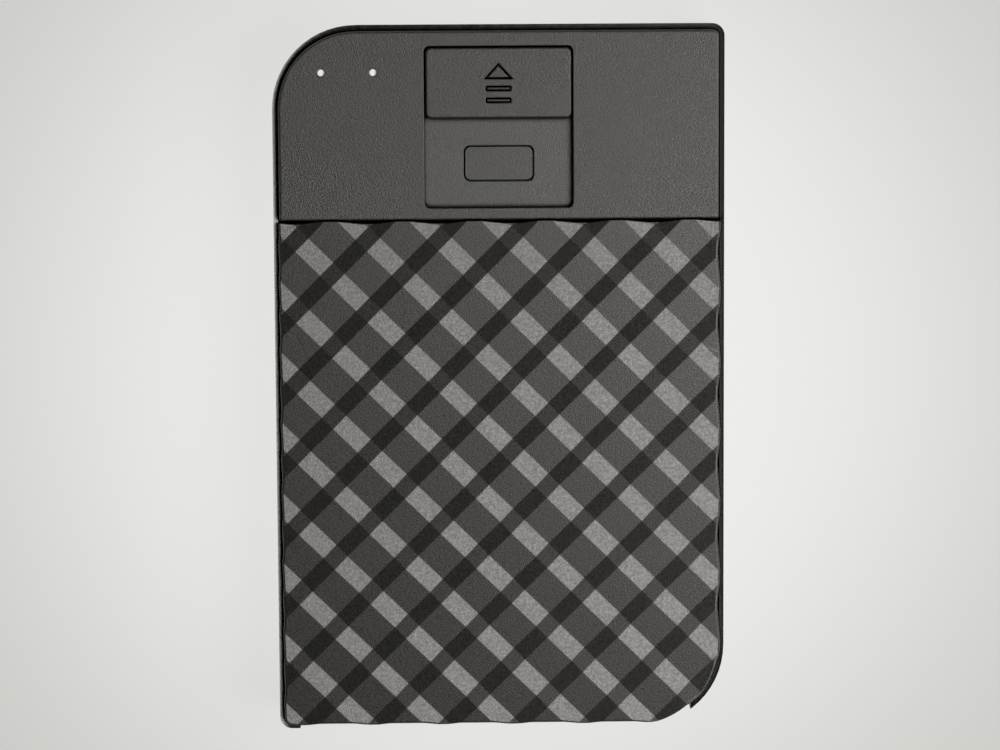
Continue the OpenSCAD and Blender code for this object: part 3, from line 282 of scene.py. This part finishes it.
def mirror_disk(name):
    """Sputtered disk: a mirror with the faintest haze."""
    paint = Paint(name)
    haze = paint.noise(12, 3)
    paint.set(Base_Color=paint.blend(haze, (0.55, 0.55, 0.56), (0.66, 0.66, 0.67)), Metallic=1.0,
              Roughness=0.06 + haze * 0.05)
    return paint.material


FINISHES = [
    (moulded_plastic("tray_plastic", level=0.003, roughness=0.32, grain=0.4, depth=0.005, edge=0.08,
                     reach=0.35),
     ["base_tray"]),
    (moulded_plastic("cover_plastic", level=0.0025, roughness=0.455, grain=0.22, depth=0.04),
     ["pattern_cover"]),
    (moulded_plastic("panel_plastic", level=0.0035, roughness=0.45, grain=0.22, depth=0.11, edge=0.3),
     ["control_panel", "sensor_shutter"]),
    (moulded_plastic("plate_plastic", level=0.016, roughness=0.42, grain=0.22, depth=0.1, reach=1.3),
     ["sensor_plate"]),
    (moulded_plastic("sensor_coating", level=0.003, roughness=0.44, grain=0.22, depth=0.07, edge=0.1,
                     reach=0.5),
     ["fingerprint_sensor"]),
    (light_guide("light_guide"), ["light_pipes", "status_leds"]),
    (soft_rubber("foot_rubber", level=0.02), ["rubber_feet", "drive_bumpers", "lid_gasket"]),
    (soft_rubber("foam", level=0.05), ["foam_pad", "air_filter"]),
    (worked_metal("bright_steel", (0.62, 0.62, 0.63), roughness=0.3, stretch=(1, 0.1, 1)),
     ["case_screws", "usb_shell", "drive_lid", "lid_screws", "clamp_screws", "board_screws",
      "sensor_board_screws", "drive_board_screws", "spindle_shaft", "pivot_post", "disk_clamp", "lower_yoke",
      "upper_yoke", "head_gimbals", "voice_coil_magnets"]),
    (worked_metal("cast_alloy", (0.5, 0.51, 0.52), roughness=0.45),
     ["drive_base", "actuator_arms", "spindle_hub", "platter_spacer"]),
    (circuit_board("board_mask", (0.012, 0.07, 0.035)), ["bridge_board", "sensor_board", "drive_board"]),
    (chip_resin("chip_resin", level=0.02),
     ["board_chips", "drive_chips", "sata_socket", "drive_connector", "usb_tongue"]),
    (moulded_plastic("natural_resin", level=0.6, roughness=0.45), ["ribbon_connectors", "load_ramp"]),
    (moulded_plastic("flex_film", level=0.25, roughness=0.35), ["sensor_ribbon"]),
    (wound_copper("wound_copper"), ["voice_coil", "motor_stator"]),
    (mirror_disk("disk_mirror"), ["lower_platter", "upper_platter"]),
]


def dress_nodes():
    for material, names in FINISHES:
        for name in names:
            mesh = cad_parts[name].data
            mesh.materials.clear()
            mesh.materials.append(material)


# Pieces: copies of the moulded shells, with the edges that the tools leave on them

HALF_WIDTH = 39.5
HALF_LENGTH = 62.25
BIG_RADIUS = 14.6
SMALL_RADIUS = 2.2
RIM_Z = 16.8
RIM_WIDTH = 0.8
RIM_ROUNDING = 0.4
RIM_LEAN = 0.32
COVER_END_Y = 28
VALLEY_Z = 17.75
PEAK_Z = 18.95
SEAM_REACH = 0.24
SEAM_LEAN = 0.55
PANEL_TOP = 18.55
PIPE_DEPTH = 0.35
PIPE_XS = (-30.85, -21.8)
PIPE_Y = 54
PIPE_TIP_SHARE = 0.84
SHUTTER_END_Y = 46.05
SHUTTER_Z = 17.35
SHUTTER_CORNER = 0.95
SHUTTER_LEAN = 0.24
SHUTTER_REACH = 0.27
SENSOR_TOP = 17
SENSOR_Y = 38.1
SENSOR_TAPER = 0.18
HAIR = 0.02


def inset_of(x, y):
    """How far in from the case's outline a point lies, in millimetres."""
    radius = BIG_RADIUS if x * y < 0 else SMALL_RADIUS
    across = abs(x) - (HALF_WIDTH - radius)
    along = abs(y) - (HALF_LENGTH - radius)
    if across > 0 and along > 0:
        return radius - math.hypot(across, along)
    return min(HALF_WIDTH - abs(x), HALF_LENGTH - abs(y))


def lean_rim(built):
    """The tray's rim: a crisp outer edge, and a top that leans in to the panel."""
    for vertex in built.verts:
        x, y, z = vertex.co / MM
        inset = inset_of(x, y)
        if z > RIM_Z - RIM_ROUNDING + HAIR and inset < RIM_WIDTH + HAIR:
            vertex.co.z = (RIM_Z - RIM_LEAN * inset) * MM


def lean_seam(built):
    """The cover's end at the seam draws back where its relief is low."""
    for vertex in built.verts:
        x, y, z = vertex.co / MM
        if y > COVER_END_Y - HAIR and z > VALLEY_Z - HAIR:
            vertex.co.y += (SEAM_REACH - SEAM_LEAN * (PEAK_Z - z)) * MM


def sink_tops(built):
    """The light pipes end a little way down in their holes, each with a narrower tip."""
    for vertex in built.verts:
        x, y, z = vertex.co / MM
        if z > PANEL_TOP - HAIR:
            middle = min(PIPE_XS, key=lambda place: abs(place - x))
            vertex.co.x = (middle + (x - middle) * PIPE_TIP_SHARE) * MM
            vertex.co.y = (PIPE_Y + (y - PIPE_Y) * PIPE_TIP_SHARE) * MM
            vertex.co.z -= PIPE_DEPTH * MM


def lean_shutter(built):
    """The shutter's open end slopes out over the plate, as a finger pull."""
    for vertex in built.verts:
        x, y, z = vertex.co / MM
        if y < SHUTTER_END_Y + SHUTTER_CORNER:
            vertex.co.y += (SHUTTER_LEAN * (z - SHUTTER_Z) - SHUTTER_REACH) * MM


def taper_sensor(built):
    """The sensor's face draws in from the edge of its hole."""
    for vertex in built.verts:
        x, y, z = vertex.co / MM
        if z > SENSOR_TOP - HAIR:
            vertex.co.x -= math.copysign(SENSOR_TAPER * MM, x)
            vertex.co.y -= math.copysign(SENSOR_TAPER * MM, y - SENSOR_Y)


def moulded_piece(name, node, shape, body="case"):
    """A merged copy of a CAD node, reshaped, in place of it."""
    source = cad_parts[node].data
    built = bmesh.new()
    built.from_mesh(source)
    bmesh.ops.remove_doubles(built, verts=built.verts, dist=0.001 * MM)
    shape(built)
    bmesh.ops.recalc_face_normals(built, faces=built.faces)
    mesh = bpy.data.meshes.new(name)
    built.to_mesh(mesh)
    built.free()
    for material in source.materials:
        mesh.materials.append(material)
    piece = bpy.data.objects.new(name, mesh)
    bpy.context.scene.collection.objects.link(piece)
    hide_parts(node)
    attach(piece, body)


def make_pieces():
    moulded_piece("tapered_sensor", "fingerprint_sensor", taper_sensor)
    moulded_piece("leaning_rim_tray", "base_tray", lean_rim)
    moulded_piece("scalloped_cover", "pattern_cover", lean_seam)
    moulded_piece("sunk_light_pipes", "light_pipes", sink_tops)
    moulded_piece("sloped_shutter", "sensor_shutter", lean_shutter, "shutter")


# Studio

FLOOR_SIZE = 4
FLOOR_MIDDLE = (0.84, 0.85, 0.83)
FLOOR_EDGE = (0.60, 0.61, 0.58)
FLOOR_GLOW_SHARE = 0.9
FLOOR_FADE_START = 40 * MM
FLOOR_FADE_END = 130 * MM
KEY_PLACE = Vector((380, -70, 620)) * MM
KEY_SIZE = 0.47
KEY_POWER = 6.1
FILL_PLACE = Vector((-420, 260, 190)) * MM
FILL_SIZE = 0.3
FILL_POWER = 0.15
WORLD_LEVEL = 0.02
LAMP_COLOUR = (1, 0.965, 0.915)


def make_floor():
    built = bmesh.new()
    bmesh.ops.create_grid(built, x_segments=1, y_segments=1, size=FLOOR_SIZE / 2,
                          matrix=Matrix.Translation((0, 0, -HAIR * MM)))
    mesh = bpy.data.meshes.new("floor")
    built.to_mesh(mesh)
    built.free()
    floor = bpy.data.objects.new("floor", mesh)
    bpy.context.scene.collection.objects.link(floor)
    paint = Paint("pale_floor")
    paper = paint.noise(0.5, 2)
    seen = paint.node("ShaderNodeLightPath", output="Is Camera Ray")
    reach = paint.node("ShaderNodeVectorMath", {"operation": "LENGTH"}, {0: paint.place}, output="Value")
    # Painted pool of light: the floor is lighter around the case and darker further out
    shade = paint.blend(reach.fade(FLOOR_FADE_START, FLOOR_FADE_END), FLOOR_MIDDLE, FLOOR_EDGE)
    lit = tuple(c * (1 - FLOOR_GLOW_SHARE) for c in (1, 1, 1))
    glow = tuple(c * FLOOR_GLOW_SHARE for c in (1, 1, 1))
    paint.set(Base_Color=paint.blend(seen, FLOOR_MIDDLE, paint.tint(shade, lit)), Roughness=0.9,
              Specular_IOR_Level=0.0, Emission_Color=paint.blend(seen, (0, 0, 0), paint.tint(shade, glow)),
              Emission_Strength=1.0)
    paint.bumps((paper, 0.01))
    mesh.materials.append(paint.material)


def area_light(name, place, size, power):
    light = bpy.data.lights.new(name, "AREA")
    light.shape = "SQUARE"
    light.size = size
    light.energy = power
    light.color = LAMP_COLOUR
    lamp = bpy.data.objects.new(name, light)
    bpy.context.scene.collection.objects.link(lamp)
    lamp.rotation_euler = (-place).to_track_quat("-Z", "Y").to_euler()
    lamp.location = place


def make_studio():
    make_floor()
    area_light("key", KEY_PLACE, KEY_SIZE, KEY_POWER)
    area_light("fill", FILL_PLACE, FILL_SIZE, FILL_POWER)
    world = bpy.data.worlds.new("studio")
    world.use_nodes = True
    world.node_tree.nodes["Background"].inputs["Color"].default_value = (1, 1, 1, 1)
    world.node_tree.nodes["Background"].inputs["Strength"].default_value = WORLD_LEVEL
    bpy.context.scene.world = world
    bpy.context.scene.view_settings.view_transform = "Standard"


make_camera()
dress_nodes()
make_pieces()
make_studio()
